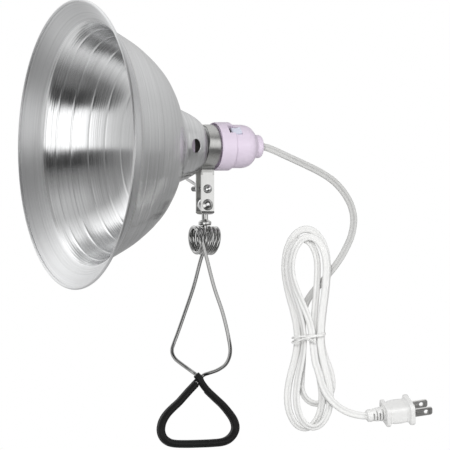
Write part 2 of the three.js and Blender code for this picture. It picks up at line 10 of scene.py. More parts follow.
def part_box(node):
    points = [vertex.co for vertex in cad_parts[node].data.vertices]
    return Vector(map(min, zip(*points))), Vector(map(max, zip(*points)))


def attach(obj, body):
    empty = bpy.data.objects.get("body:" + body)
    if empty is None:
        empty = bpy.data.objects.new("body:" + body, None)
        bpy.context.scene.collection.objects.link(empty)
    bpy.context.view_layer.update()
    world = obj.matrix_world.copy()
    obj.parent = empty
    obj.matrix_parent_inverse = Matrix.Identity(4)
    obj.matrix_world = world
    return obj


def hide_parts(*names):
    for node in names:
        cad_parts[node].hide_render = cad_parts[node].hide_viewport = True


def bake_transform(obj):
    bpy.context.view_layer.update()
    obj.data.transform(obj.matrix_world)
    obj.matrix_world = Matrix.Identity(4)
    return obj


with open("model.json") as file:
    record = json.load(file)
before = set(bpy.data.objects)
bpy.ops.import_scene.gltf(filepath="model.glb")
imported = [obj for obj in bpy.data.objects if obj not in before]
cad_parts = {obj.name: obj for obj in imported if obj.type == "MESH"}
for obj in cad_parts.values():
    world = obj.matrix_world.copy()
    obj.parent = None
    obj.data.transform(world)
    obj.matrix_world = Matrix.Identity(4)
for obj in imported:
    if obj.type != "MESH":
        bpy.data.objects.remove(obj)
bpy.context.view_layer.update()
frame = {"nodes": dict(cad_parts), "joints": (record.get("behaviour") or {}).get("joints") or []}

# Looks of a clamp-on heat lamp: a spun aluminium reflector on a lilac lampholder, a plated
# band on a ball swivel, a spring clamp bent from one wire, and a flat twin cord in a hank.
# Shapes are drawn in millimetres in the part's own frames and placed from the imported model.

MM = 0.001
TAU = 2 * math.pi


# ---- frames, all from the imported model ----
def middle(node):
    low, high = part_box(node)
    return (low + high) / 2


def joint(name):
    return next(j for j in frame["joints"] if j["name"] == name)


def placing(origin, x, y):
    """Matrix from millimetres in a local frame to metres in the row frame."""
    x, y = Vector(x).normalized(), Vector(y).normalized()
    z = x.cross(y)
    turn = Matrix((x, y, z)).transposed().to_4x4()
    return Matrix.Translation(origin) @ turn @ Matrix.Scale(MM, 4)


BALL = middle("swivel_ball")
AXIS_Z = middle("reflector").z  # height of the lamp axis
LAMP = placing((BALL.x, 0, AXIS_Z), (1, 0, 0), (0, 1, 0))
SPRING = joint("rear_jaw_open")
CLAMP = placing(SPRING["pos_m"], SPRING["axis"], (0, 1, 0))
CORD_TURN = math.radians(-24.5)  # the upright plane that the cord hangs in
CORD = LAMP @ Matrix.Rotation(CORD_TURN, 4, "Z")
PLUG_ROOT = (121.3, -30.84, -201.6)
PLUG_TURN = Euler([math.radians(a) for a in (25, -8, 14)]).to_matrix().to_4x4()
PLUG = CORD @ Matrix.Translation(PLUG_ROOT) @ PLUG_TURN
ROCK = joint("switch_rock")
SWITCH = placing(ROCK["pos_m"], (1, 0, 0), ROCK["axis"])

BALL_Z = (BALL.z - AXIS_Z) / MM
BALL_R = (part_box("swivel_ball")[1].x - BALL.x) / MM
SCREW_Z = (middle("band_screw").z - AXIS_Z) / MM


# ---- camera, level and side on, through a long lens ----
VIEW_AZIMUTH = math.radians(-24.5)
VIEW_CENTRE = LAMP @ Vector((13.74, -6.27, -59.0))
FRAME_WIDTH = 0.3375
LENS = 800.0
SENSOR = 36.0
BACK = Vector((math.sin(VIEW_AZIMUTH), -math.cos(VIEW_AZIMUTH), 0))


def linked(name, data):
    """A new object with this data, in the scene."""
    obj = bpy.data.objects.new(name, data)
    bpy.context.scene.collection.objects.link(obj)
    return obj


def make_camera():
    data = bpy.data.cameras.new("camera")
    data.lens = LENS
    data.sensor_width = SENSOR
    camera = linked("camera", data)
    camera.location = VIEW_CENTRE + BACK * (FRAME_WIDTH * LENS / SENSOR)
    camera.rotation_mode = "QUATERNION"
    camera.rotation_quaternion = (-BACK).to_track_quat("-Z", "Y")
    bpy.context.scene.camera = camera


make_camera()


# ---- nodes and materials ----
class Nodes:
    """A short hand for the nodes of a material or a world."""

    def __init__(self, owner):
        owner.use_nodes = True
        self.tree = owner.node_tree

    def feed(self, value, socket):
        """Links a socket to another one, or sets it to a value."""
        if isinstance(value, bpy.types.NodeSocket):
            self.tree.links.new(value, socket)
        else:
            socket.default_value = value

    def add(self, kind, *inputs, **settings):
        """A node with its first inputs fed in order, and other inputs and settings by name."""
        made = self.tree.nodes.new(kind)
        for key, value in settings.items():
            if key in made.inputs:
                self.feed(value, made.inputs[key])
            else:
                setattr(made, key, value)
        for value, socket in zip(inputs, made.inputs):
            self.feed(value, socket)
        return made

    def math(self, operation, *values):
        return self.add("ShaderNodeMath", *values, operation=operation).outputs[0]

    def ramp(self, value, stops):
        """A colour ramp with (position, grey or colour) stops."""
        made = self.add("ShaderNodeValToRGB", value)
        points = made.color_ramp.elements
        while len(points) < len(stops):
            points.new(0.5)
        for point, (position, shade_here) in zip(points, stops):
            colour = shade_here if isinstance(shade_here, tuple) else (shade_here,) * 3
            point.position = position
            point.color = (*colour, 1.0)
        return made.outputs["Color"]


class Look(Nodes):
    """A material's nodes."""

    def __init__(self, name):
        self.material = bpy.data.materials.new(name)
        super().__init__(self.material)

    def place(self, scale=(1, 1, 1)):
        """Object coordinates, stretched."""
        where = self.add("ShaderNodeTexCoord").outputs["Object"]
        return self.add("ShaderNodeMapping", where, Scale=scale).outputs["Vector"]

    def noise(self, place, scale, detail=3.0, roughness=0.55):
        made = self.add("ShaderNodeTexNoise", place, Scale=scale, Detail=detail, Roughness=roughness)
        return made.outputs["Fac"]

    def bump(self, height, strength, distance):
        made = self.add("ShaderNodeBump", Height=height, Strength=strength, Distance=distance)
        return made.outputs["Normal"]

    def finished(self, **sockets):
        """The material, with its shader's sockets fed by name, _ standing for a space."""
        for key, value in sockets.items():
            self.feed(value, self.tree.nodes["Principled BSDF"].inputs[key.replace("_", " ")])
        return self.material


def shade(colour, factor):
    return tuple(min(1.0, c * factor) for c in colour)


def moulded(name, colour, roughness, grain=900.0, depth=0.00001, drift=0.04, **sockets):
    """Moulded plastic or rubber: a fine grain, with slow drifts of tint and gloss."""
    n = Look(name)
    place = n.place()
    slow = n.noise(place, 26.0, 2.0)
    fine = n.noise(place, grain, 4.0)
    return n.finished(
        Base_Color=n.ramp(slow, [(0.3, shade(colour, 1 - drift)), (0.7, shade(colour, 1 + drift))]),
        Roughness=n.ramp(fine, [(0.25, roughness * 0.88), (0.75, roughness * 1.12)]),
        Normal=n.bump(fine, 0.35, depth),
        **sockets,
    )


def plated(name, colour, roughness, grain=700.0, depth=0.000003, drift=0.05):
    """Plated or bare metal: faint scratches and smudges."""
    n = Look(name)
    smudge = n.noise(n.place(), 60.0, 4.0)
    scratch = n.noise(n.place((1, 1, 0.08)), grain, 5.0, 0.6)
    return n.finished(
        Base_Color=n.ramp(smudge, [(0.3, shade(colour, 1 - drift)), (0.7, colour)]),
        Roughness=n.ramp(scratch, [(0.3, roughness * 0.85), (0.7, roughness * 1.15)]),
        Normal=n.bump(scratch, 0.25, depth),
        Metallic=1.0,
    )


FLANGE_X = -93.5  # where the bowl's satin flange begins
SATIN = 0.50  # its roughness
SATIN_BLEND = 1.5  # it fades over this distance to either side


def spun(name, colour, roughness):
    """Metal spun on a lathe: fine rings round the lamp axis, and gloss that runs across them."""
    n = Look(name)
    where = n.add("ShaderNodeTexCoord").outputs["Object"]
    x, y, z = n.add("ShaderNodeSeparateXYZ", where).outputs
    flat = n.add("ShaderNodeCombineXYZ", y, n.math("SUBTRACT", z, AXIS_Z)).outputs["Vector"]
    radius = n.add("ShaderNodeVectorMath", flat, operation="LENGTH").outputs["Value"]
    ring = n.add("ShaderNodeCombineXYZ", x, radius).outputs["Vector"]
    lines = n.noise(ring, 900.0, 4.0, 0.7)
    bands = n.noise(ring, 260.0, 4.0, 0.75)
    streaks = n.add("ShaderNodeMapRange", lines, 0.25, 0.75, 0.8, 1.25).outputs["Result"]
    # the flange at the mouth has a satin finish, the rest is brighter
    mouth, half = FLANGE_X * MM + BALL.x, SATIN_BLEND * MM
    gloss = n.add("ShaderNodeMapRange", x, mouth - half, mouth + half, SATIN, roughness,
                  interpolation_type="SMOOTHSTEP").outputs["Result"]
    tones = [(0.34, shade(colour, 0.85)), (0.50, shade(colour, 0.97)), (0.62, colour)]
    return n.finished(
        Base_Color=n.ramp(bands, tones),
        Roughness=n.math("MULTIPLY", streaks, gloss),
        Normal=n.bump(lines, 0.5, 0.000008),
        Tangent=n.add("ShaderNodeTangent", direction_type="RADIAL", axis="X").outputs["Tangent"],
        Metallic=1.0,
        Anisotropic=0.85,
        Anisotropic_Rotation=0.25,
    )


LOOKS = {
    "aluminium": spun("spun_aluminium", (0.82, 0.825, 0.83), 0.20),
    "nickel": plated("nickel_plate", (0.64, 0.64, 0.63), 0.20),
    "chrome": plated("bright_steel", (0.78, 0.78, 0.78), 0.10),
    "wire": plated("spring_wire", (0.48, 0.48, 0.475), 0.13),
    "band": plated("nickel_band", (0.62, 0.62, 0.605), 0.30),
    "brass": plated("brass", (0.72, 0.53, 0.24), 0.30),
    "blade": plated("blade_plate", (0.86, 0.855, 0.84), 0.42, 1500.0, 0.00001, 0.10),
    "lilac": moulded("lilac_shell", (0.735, 0.645, 0.765), 0.40, drift=0.015),
    "rocker": moulded("pale_rocker", (0.66, 0.68, 0.79), 0.22, drift=0.015),
    "phenolic": moulded("dark_insulator", (0.022, 0.019, 0.018), 0.50),
    "vinyl": moulded("jaw_vinyl", (0.009, 0.009, 0.009), 0.50, 380.0, 0.00003, 0.15,
                     Specular_IOR_Level=0.25),
    "cord": moulded("cord_jacket", (0.83, 0.83, 0.82), 0.42, drift=0.015),
    # the same jacket painted darker: painted shade for the drop's first stretch
    "cord_painted_shade": moulded("cord_jacket_shaded", (0.60, 0.60, 0.59), 0.42, drift=0.02),
    "tie": moulded("tie_plastic", (0.87, 0.87, 0.86), 0.45, drift=0.01),
    "plug": moulded("plug_plastic", (0.88, 0.88, 0.87), 0.40, drift=0.01),
    "dark_lead": moulded("dark_lead", (0.03, 0.03, 0.03), 0.45),
    "pale_lead": moulded("pale_lead", (0.75, 0.75, 0.73), 0.45),
}


# ---- mesh helpers ----
SMOOTH = 40.0  # edges past this many degrees stay sharp
FLAT_SMOOTH = 35.0  # and this many on flat and carved pieces


def piece(name, verts, faces, place, look, smooth_angle=SMOOTH):
    """A mesh from local millimetres, with its faces pointing out and edges past an angle kept sharp."""
    mesh = bpy.data.meshes.new(name)
    mesh.from_pydata([tuple(v) for v in np.asarray(verts, float)], [], [tuple(f) for f in faces])
    mesh.transform(place)
    bm = bmesh.new()
    bm.from_mesh(mesh)
    bmesh.ops.remove_doubles(bm, verts=bm.verts, dist=2e-6)
    bmesh.ops.recalc_face_normals(bm, faces=bm.faces)
    bm.to_mesh(mesh)
    bm.free()
    finish_mesh(mesh, smooth_angle)
    mesh.materials.append(LOOKS[look])
    return linked(name, mesh)


def finish_mesh(mesh, smooth_angle):
    mesh.polygons.foreach_set("use_smooth", [True] * len(mesh.polygons))
    mesh.set_sharp_from_angle(angle=math.radians(smooth_angle))


def rings_faces(rows, sides, loop, capped):
    """Faces between equal rings of points. A loop joins the last ring to the first."""
    faces = []
    for i in range(rows if loop else rows - 1):
        j = (i + 1) % rows
        for k in range(sides):
            m = (k + 1) % sides
            faces.append((i * sides + k, i * sides + m, j * sides + m, j * sides + k))
    if capped and not loop:
        faces.append(tuple(range(sides)))
        faces.append(tuple(range((rows - 1) * sides, rows * sides)))
    return faces


def sheet_faces(columns, rows):
    """Faces of two equal grids, the second below the first, closed all round the edge."""
    count = columns * rows
    faces = []
    for j in range(rows - 1):
        for i in range(columns - 1):
            a = j * columns + i
            faces.append((a, a + 1, a + columns + 1, a + columns))
            faces.append((a + count, a + columns + count, a + columns + 1 + count, a + 1 + count))
    rim = [*range(columns)]
    rim += [j * columns + columns - 1 for j in range(1, rows)]
    rim += [(rows - 1) * columns + i for i in range(columns - 2, -1, -1)]
    rim += [j * columns for j in range(rows - 2, 0, -1)]
    for a, b in zip(rim, rim[1:] + rim[:1]):
        faces.append((a, b, b + count, a + count))
    return faces


def skinned(name, rings, place, look, loop=False, capped=True, smooth_angle=SMOOTH):
    """A skin through a row of equal sections."""
    rings = np.asarray(rings, float)
    rows, sides = rings.shape[:2]
    return piece(name, rings.reshape(-1, 3), rings_faces(rows, sides, loop, capped), place, look,
                 smooth_angle)


def rounded(points, closed=False):
    """A polyline of (a, b, fillet) or (a, b) with each corner rounded by its fillet."""
    out = []
    count = len(points)
    for i, point in enumerate(points):
        here = np.array(point[:2], float)
        fillet = point[2] if len(point) > 2 else 0.0
        if fillet <= 0 or (not closed and i in (0, count - 1)):
            out.append(here)
            continue
        before = np.array(points[i - 1][:2], float) - here
        after = np.array(points[(i + 1) % count][:2], float) - here
        reach = min(fillet, 0.48 * np.linalg.norm(before), 0.48 * np.linalg.norm(after))
        start = here + before / np.linalg.norm(before) * reach
        end = here + after / np.linalg.norm(after) * reach
        for t in np.linspace(0, 1, 6):
            out.append((1 - t) ** 2 * start + 2 * t * (1 - t) * here + t ** 2 * end)
    return np.array(out)


def turned(name, profile, place, look, axis="X", sides=128, loop=True, smooth_angle=SMOOTH):
    """A profile of (along, radius) turned about an axis. loop closes the profile on itself."""
    profile = np.asarray(profile, float)
    angles = np.arange(sides) * TAU / sides
    rings = np.zeros((len(profile), sides, 3))
    along, first, second = {"X": (0, 1, 2), "Y": (1, 2, 0), "Z": (2, 0, 1)}[axis]
    rings[:, :, along] = profile[:, :1]
    rings[:, :, first] = profile[:, 1:] * np.cos(angles)
    rings[:, :, second] = profile[:, 1:] * np.sin(angles)
    return skinned(name, rings, place, look, loop=loop, capped=False, smooth_angle=smooth_angle)


def between(start, end, from_t, to_t, t):
    """The value at t of a line that is at start at from_t and at end at to_t."""
    span = to_t - from_t
    return (to_t - t) / span * start + (t - from_t) / span * end


def through(points, step=1.0):
    """A smooth centripetal curve through points, sampled evenly. Further columns ride along."""
    p = np.asarray(points, float)
    p = np.vstack([2 * p[0] - p[1], p, 2 * p[-1] - p[-2]])
    out = []
    for i in range(1, len(p) - 2):
        knots = [0.0]
        for j in range(i - 1, i + 2):
            knots.append(knots[-1] + np.linalg.norm((p[j + 1] - p[j])[:3]) ** 0.5)
        t0, t1, t2, t3 = knots
        p0, p1, p2, p3 = p[i - 1:i + 3]
        for t in np.linspace(t1, t2, 24, endpoint=False):
            a = between(p0, p1, t0, t1, t)
            b = between(p1, p2, t1, t2, t)
            c = between(p2, p3, t2, t3, t)
            out.append(between(between(a, b, t0, t2, t), between(b, c, t1, t3, t), t1, t2, t))
    out.append(p[-2])
    return evenly(out, step)


def evenly(points, step):
    """The same line with its points a step apart."""
    p = np.asarray(points, float)
    lengths = np.concatenate([[0], np.cumsum(np.linalg.norm(np.diff(p[:, :3], axis=0), axis=1))])
    count = max(2, int(round(lengths[-1] / step)) + 1)
    at = np.linspace(0, lengths[-1], count)
    return np.stack([np.interp(at, lengths, column) for column in p.T], axis=1)


def path_length(points):
    return float(np.linalg.norm(np.diff(np.asarray(points), axis=0), axis=1).sum())


def tangents(path):
    t = np.gradient(path, axis=0)
    return t / np.linalg.norm(t, axis=1)[:, None]


ANY_WAY = (0.31, 0.22, 0.92)  # a direction that no path starts in


def swept(name, path, section, place, look, facing=None, rolls=None, sizes=None, ways=None,
          smooth_angle=SMOOTH):
    """Sweeps a section of (across, out) along a path. The section's second axis leans to facing,
    or turns as little as it can. rolls turns it about the path, sizes scales it, and ways are
    the path's directions where they don't follow from its points."""
    path = np.asarray(path, float)
    section = np.asarray(section, float)
    out = np.array(ANY_WAY)
    rings = []
    for i, way in enumerate(tangents(path) if ways is None else ways):
        if facing is not None:
            out = np.array(facing, float)
        out = out - out.dot(way) * way
        out /= np.linalg.norm(out)
        right, up = np.cross(out, way), out
        if rolls is not None:
            c, s = math.cos(math.radians(rolls[i])), math.sin(math.radians(rolls[i]))
            right, up = c * right + s * up, c * up - s * right
        size = 1.0 if sizes is None else sizes[i]
        rings.append(path[i] + size * (section[:, :1] * right + section[:, 1:] * up))
    return skinned(name, rings, place, look, smooth_angle=smooth_angle)


def circle(radius, sides=20):
    a = np.arange(sides) * TAU / sides
    return np.stack([radius * np.cos(a), radius * np.sin(a)], axis=1)


def closed_ends(path, reach):
    """Extra path points and sizes that round a wire's two ends off."""
    t = tangents(path)
    turn = np.linspace(0, math.pi / 2, 5)[1:]
    head = [path[0] - t[0] * reach * math.sin(a) for a in turn][::-1]
    tail = [path[-1] + t[-1] * reach * math.sin(a) for a in turn]
    shrink = [max(math.cos(a), 0.05) for a in turn]
    return np.vstack([head, path, tail]), shrink[::-1] + [1.0] * len(path) + shrink


def slab(name, outline, low, high, place, look):
    """A flat outline of (x, z), pushed from low to high along y."""
    verts = [(x, y, z) for y in (low, high) for x, z in outline]
    count = len(outline)
    faces = [tuple(range(count)), tuple(range(count, 2 * count))]
    faces += [(i, (i + 1) % count, (i + 1) % count + count, i + count) for i in range(count)]
    return piece(name, verts, faces, place, look, FLAT_SMOOTH)


def box(name, xs, ys, zs, place, look):
    outline = [(xs[0], zs[0]), (xs[1], zs[0]), (xs[1], zs[1]), (xs[0], zs[1])]
    return slab(name, outline, *ys, place, look)


def applied(obj, modifier, smooth_angle=FLAT_SMOOTH):
    """Replaces the object's mesh by the modifier's result."""
    bpy.context.view_layer.update()
    graph = bpy.context.evaluated_depsgraph_get()
    mesh = bpy.data.meshes.new_from_object(obj.evaluated_get(graph))
    obj.modifiers.remove(modifier)
    old = obj.data
    mesh.name = obj.name
    obj.data = mesh
    bpy.data.meshes.remove(old)
    finish_mesh(mesh, smooth_angle)
    return obj


def bevelled(obj, width):
    bevel = obj.modifiers.new("bevel", "BEVEL")
    bevel.width = width * MM
    bevel.segments = 2
    bevel.limit_method = "ANGLE"
    bevel.angle_limit = math.radians(30)
    bevel.use_clamp_overlap = True
    return applied(obj, bevel)


def carved(obj, *cutters, smooth_angle=FLAT_SMOOTH):
    for cutter in cutters:
        boolean = obj.modifiers.new("carve", "BOOLEAN")
        boolean.operation = "DIFFERENCE"
        boolean.solver = "EXACT"
        boolean.object = cutter
        applied(obj, boolean, smooth_angle)
        bpy.data.objects.remove(cutter)
    return obj


def merged(name, *objects):
    """Several pieces as one object, each with its own material."""
    bm = bmesh.new()
    looks = []
    for o in objects:
        look = o.data.materials[0]
        if look not in looks:
            looks.append(look)
        first = len(bm.faces)
        bm.from_mesh(o.data)
        bm.faces.ensure_lookup_table()
        for face in bm.faces[first:]:
            face.material_index = looks.index(look)
    mesh = bpy.data.meshes.new(name)
    bm.to_mesh(mesh)
    bm.free()
    for look in looks:
        mesh.materials.append(look)
    finish_mesh(mesh, FLAT_SMOOTH)
    for o in objects:
        bpy.data.objects.remove(o)
    return linked(name, mesh)


def arc(centre, radius, start, end):
    """Points on a circle's arc, angles in degrees."""
    angles = np.radians(np.linspace(start, end, 6))
    return [(centre[0] + radius * math.cos(a), centre[1] + radius * math.sin(a)) for a in angles]


def bar(name, radius, low, high, place, look, sides=32):
    """A plain round bar along y, used to carve holes."""
    profile = [(low, 0), (low, radius), (high, radius), (high, 0)]
    return turned(name, profile, place, look, "Y", sides, loop=False)


def moved(place, *shift):
    return place @ Matrix.Translation(shift)


def placed(obj, body, slot, *nodes):
    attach(obj, body)
    if nodes:
        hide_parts(*nodes)
    return obj


# ---- cord: drop, hank and plug lead in one piece ----
CORD_WIDTH = 5.4
CORD_THICK = 2.7
CORD_STEP = 1.25
DROP = [
    (40.5, 18.46, 0), (44.0, 20.06, -0.2), (48.0, 21.7, -1.3), (53.2, 22.9, -3.4), (59.4, 22.6, -6.3),
    (66.0, 21.2, -9.3), (74.9, 18.6, -13.5), (86.9, 15.2, -19.5), (95.9, 12.2, -25.5), (101.8, 9.0, -31.4),
    (106.6, 5.6, -38.2), (109.8, 2.4, -45.0), (111.6, -2.2, -54.6), (109.8, -8.4, -66.6),
    (104.8, -14.2, -78.0), (98.9, -19.0, -87.6), (93.0, -21.4, -95.1), (86.9, -22.4, -102.4),
    (80.9, -23.0, -109.0), (76.4, -23.3, -116.0), (73.7, -23.4, -124.5), (73.2, -23.4, -134.0),
]
PLUG_LEAD = [
    (82.4, -32.8, -160.6), (84.7, -33.4, -168.2), (87.7, -34.2, -178.3), (91.0, -34.8, -185.2),
    (95.6, -34.9, -191.0), (100.4, -34.3, -195.2), (105.6, -33.2, -198.2), (111.0, -32.6, -200.2),
    (116.6, -31.8, -201.3), (122.4, -30.7, -201.6),
]
WAIST_Z = -144.0
SHOULDERS_Z = (-90.0, -188.0)  # where the top and the bottom loops are widest
# Each turn: the bottom loop's left and right side and its lowest point, the right strand at the
# tie, the top loop's right and left side and its highest point, and the left strand at the tie.
TURNS = [
    ((72.0, 95.4, -192.6), 87.2, (91.6, 59.9, -62.1), 69.3),
    ((61.8, 87.6, -210.9), 81.2, (84.2, 62.0, -69.7), 74.2),
    ((68.3, 93.6, -210.2), 86.4, (90.8, 64.9, -67.9), 80.2),
]
HANK_DEPTHS = (-23.4, -32.4)  # the first and the last pass, towards the front
# How far the flat side is rolled from the front, in degrees, after so many passes of the hank.
ROLLS = [
    (0, 30), (1, 50), (2, 40), (3, 10), (4, 0), (4.8, 0), (5.5, 40), (6, 10), (7, 35), (8, 30),
    (8.5, 62), (9, 25), (9.6, 40), (10, 15), (11, 5), (11.6, 20), (12, 42), (13, 5),
]
FIRST_STRAND = (73.3, 73.6)  # how the drop comes in, at the top and at the tie
FIRST_LOOP_RISE = 10.0  # the first bottom loop bends from this much higher up
LAST_STRAND = 88.0  # where the last strand makes for, below the tie
ARCH_POINTS = 9
SIDE_STEPS = 12


def arch(start, end, crown, shoulder):
    """Points over the top or under the bottom, from one side to the other."""
    mid, half = (start + end) / 2, (start - end) / 2
    angles = np.linspace(0, math.pi, ARCH_POINTS)
    return [(mid + half * math.cos(a), shoulder + (crown - shoulder) * math.sin(a)) for a in angles]


def side(start, waist, end, from_z, to_z):
    """Points along one side, drawn in at the tie."""
    out = []
    for k in range(1, SIDE_STEPS):
        z = from_z + (to_z - from_z) * k / SIDE_STEPS
        outer, reach = (start, from_z) if (z - WAIST_Z) * (from_z - WAIST_Z) > 0 else (end, to_z)
        share = (1 - math.cos(math.pi * (z - WAIST_Z) / (reach - WAIST_Z))) / 2
        out.append((waist + (outer - waist) * share, z))
    return out


def hank_route():
    top_z, bottom_z = SHOULDERS_Z
    first = side(*FIRST_STRAND, TURNS[0][0][0], top_z, bottom_z)
    passes = [[(x, z) for x, z in first if z < WAIST_Z]]
    for k, (bottom, right, top, left) in enumerate(TURNS):
        is_last = k + 1 == len(TURNS)
        shoulder = bottom_z + (FIRST_LOOP_RISE if k == 0 else 0.0)
        following = LAST_STRAND if is_last else TURNS[k + 1][0][0]
        down = side(top[1], left, following, top_z, bottom_z)
        passes.append(arch(*bottom, shoulder))
        passes.append(side(bottom[1], right, top[0], shoulder, top_z))
        passes.append(arch(*top, top_z))
        passes.append([(x, z) for x, z in down if z > WAIST_Z] if is_last else down)
    # the depth steps forward over each loop, and stays level along the sides
    step = (HANK_DEPTHS[1] - HANK_DEPTHS[0]) / (2 * len(TURNS))
    route = []
    depth = HANK_DEPTHS[0]
    for k, points in enumerate(passes):
        is_arch = k % 2 == 1
        for i, (x, z) in enumerate(points):
            share = i / (len(points) - 1)
            roll = np.interp(k + share, *zip(*ROLLS))
            route.append((x, depth + step * (share if is_arch else 0.0), z, roll))
        if is_arch:
            depth += step
    return route


def rolled(points, start, end):
    """Adds a roll that drifts evenly from start to end."""
    return [(*point, roll) for point, roll in zip(points, np.linspace(start, end, len(points)))]


def twin_section():
    """Two round conductors side by side, joined by a web."""
    lobe = CORD_THICK / 2
    reach = CORD_WIDTH / 2 - lobe
    angles = np.radians(np.linspace(-128, 128, 14))
    right = [(reach + lobe * math.cos(a), lobe * math.sin(a)) for a in angles]
    left = [(-x, -y) for x, y in right]
    web = lobe * 0.62
    return right + [(0.0, web)] + left + [(0.0, -web)]


def make_cord():
    grey_route = rolled(DROP, 0, ROLLS[0][1])
    path = through(grey_route + hank_route() + rolled(PLUG_LEAD, ROLLS[-1][1], 0), CORD_STEP)
    section = twin_section()
    line = path[:, :3]
    obj = swept("flat_cord", line, section, CORD, "cord_painted_shade", facing=(0, 1, 0), rolls=path[:, 3],
                smooth_angle=50)
    obj.data.materials.append(LOOKS["cord"])
    # the first stretch gets the darker jacket, painted shade, up to where it passes behind the hank
    painted_shade_rings = int(path_length(through(grey_route)[:, :3]) / CORD_STEP)
    for polygon in obj.data.polygons:
        if polygon.index // len(section) >= painted_shade_rings:
            polygon.material_index = 1
    return obj, [CORD @ Vector(p) for p in line], path_length(line) * MM


def signed_power(values, power):
    return np.sign(values) * np.abs(values) ** power


def make_tie():
    """Two turns of thin tie wire about the hank's waist, twisted together at the front."""
    radius, end_reach, step = 0.58, 0.275, 0.6
    middle_x, half_x = 77.6, 12.3
    middle_y, half_y = -27.9, 7.4
    squareness = 0.62
    wave = 0.5
    twist_turns, twist_radius = 2.6, 0.75
    paths = []
    # each wrap rises from its left height to its right one, with a slight wave
    for left, right, phase in ((-2.6, 3.4, 0.4), (0.9, 3.9, 2.1)):
        a = np.linspace(0, TAU, 73)
        x = middle_x + half_x * signed_power(np.cos(a), squareness)
        y = middle_y + half_y * signed_power(np.sin(a), squareness)
        z = WAIST_Z + np.interp(x, (middle_x - half_x, middle_x + half_x), (left, right))
        paths.append(np.stack([x, y, z + wave * np.sin(3 * a + phase)], axis=1))
    for phase in (0, math.pi):
        t = np.linspace(0, 1, 60)
        a = phase + twist_turns * TAU * t
        x = middle_x - 2.4 + 7.2 * t
        z = WAIST_Z + 0.6 - 3.0 * t + twist_radius * np.cos(a)
        y = middle_y - half_y - 0.9 + twist_radius * np.sin(a)
        paths.append(np.stack([x, y, z], axis=1))
    parts = []
    for path in paths:
        ended, sizes = closed_ends(evenly(path, step), end_reach)
        parts.append(swept("tie_part", ended, circle(radius, 10), CORD, "tie", sizes=sizes))
    return merged("cord_tie", *parts)


# ---- plug, drawn along its own axis ----
BLADE_Y = 6.35  # half the blades' spacing
BLADE_THICK = 1.5
SLIT_WIDTH = 1.25
SLIT_PITCH = 2.3


def lofted(name, stations, power, sides=48):
    """Sections (along, half width, half height) with squarish round corners."""
    a = np.arange(sides) * TAU / sides
    c = signed_power(np.cos(a), 2 / power)
    s = signed_power(np.sin(a), 2 / power)
    rings = [np.stack([np.full(sides, x), y * c, z * s], axis=1) for x, y, z in stations]
    return skinned(name, rings, PLUG, "plug", smooth_angle=30)


def flange(low, high, y, z, edge):
    """Stations of a flange whose two rims are rounded by edge."""
    cuts = [(0, edge), (edge * 0.3, edge * 0.3), (edge, 0)]
    rise = [(low + along, y - cut, z - cut) for along, cut in cuts]
    return rise + [(high - along, y - cut, z - cut) for along, cut in reversed(cuts)]


def make_plug_body():
    """A waisted body with a finger flange at each end, slotted for the blades."""
    body = lofted("moulded_plug", [
        *flange(12.6, 15.8, 10.6, 7.6, 0.8),
        (16.2, 8.9, 6.0), (17.0, 8.8, 5.9), (18.6, 9.2, 6.3), (21.0, 9.5, 6.5), (24.0, 9.6, 6.6),
        (26.8, 9.5, 6.5), (28.6, 9.3, 6.3), (29.6, 9.6, 6.6), (30.3, 10.2, 7.2),
        *flange(30.6, 34.4, 11.8, 8.5, 0.9),
    ], power=6.5, sides=80)
    slots = []
    for y in (-BLADE_Y, BLADE_Y):
        slots.append(box("slot", (31, 40), (y - 0.95, y + 0.95), (-3.4, 3.4), PLUG, "plug"))
    return carved(body, *slots, smooth_angle=30)


def make_relief():
    """A short cone with an end collar and staggered slits that let it bend."""
    relief = lofted("plug_bend_relief", [
        (-0.6, 3.4, 2.6), (-0.3, 4.3, 3.7), (0.1, 4.6, 4.1), (2.4, 4.8, 4.4), (2.8, 4.5, 4.1),
        (3.2, 4.7, 4.2), (12.4, 5.6, 5.2), (12.8, 5.0, 4.6),
    ], power=2.6)
    cuts = []
    for k in range(4):
        x = 3.7 + SLIT_PITCH * k
        up = 1 if k % 2 else -1
        for face in (1, -1):
            z = (-3.1, 7.5) if up * face > 0 else (-7.5, 3.1)
            y = (-8, -1.3) if face > 0 else (1.3, 8)
            cuts.append(box("slit", (x, x + SLIT_WIDTH), y, z, PLUG, "plug"))
    return carved(relief, *cuts, smooth_angle=30)


def make_blade(name, y):
    """A flat blade along the plug's axis, with round corners and a hole near its tip."""
    root, shoulder, half = 30.0, 46.4, 3.15
    corner_x, corner_z, corner_r = 47.0, 1.3, 1.85
    outline = [(root, -half), (shoulder, -half), *arc((corner_x, -corner_z), corner_r, -85, 0),
               *arc((corner_x, corner_z), corner_r, 0, 85), (shoulder, half), (root, half)]
    blade = slab(name, outline, y - BLADE_THICK / 2, y + BLADE_THICK / 2, PLUG, "blade")
    hole = bar("hole", 1.55, y - 3, y + 3, moved(PLUG, 43.8, 0, 0), "blade")
    return bevelled(carved(blade, hole), 0.14)


def make_cord_set():
    cord, line, length = make_cord()
    body = placed(make_plug_body(), "lamp_head", "plug_plastic", "plug_body")
    relief = placed(make_relief(), "lamp_head", "plug_plastic", "plug_strain_relief")
    for name, y in (("blade_hot", -BLADE_Y), ("blade_neutral", BLADE_Y)):
        placed(make_blade(name, y), "lamp_head", "blade_metal", "plug_" + name)
    tie = placed(make_tie(), "lamp_head", "tie_plastic", "hank_tie")
    placed(cord, "lamp_head", "cord_pvc", "cord_drop", "cord_hank", "cord_plug_lead")


make_cord_set()


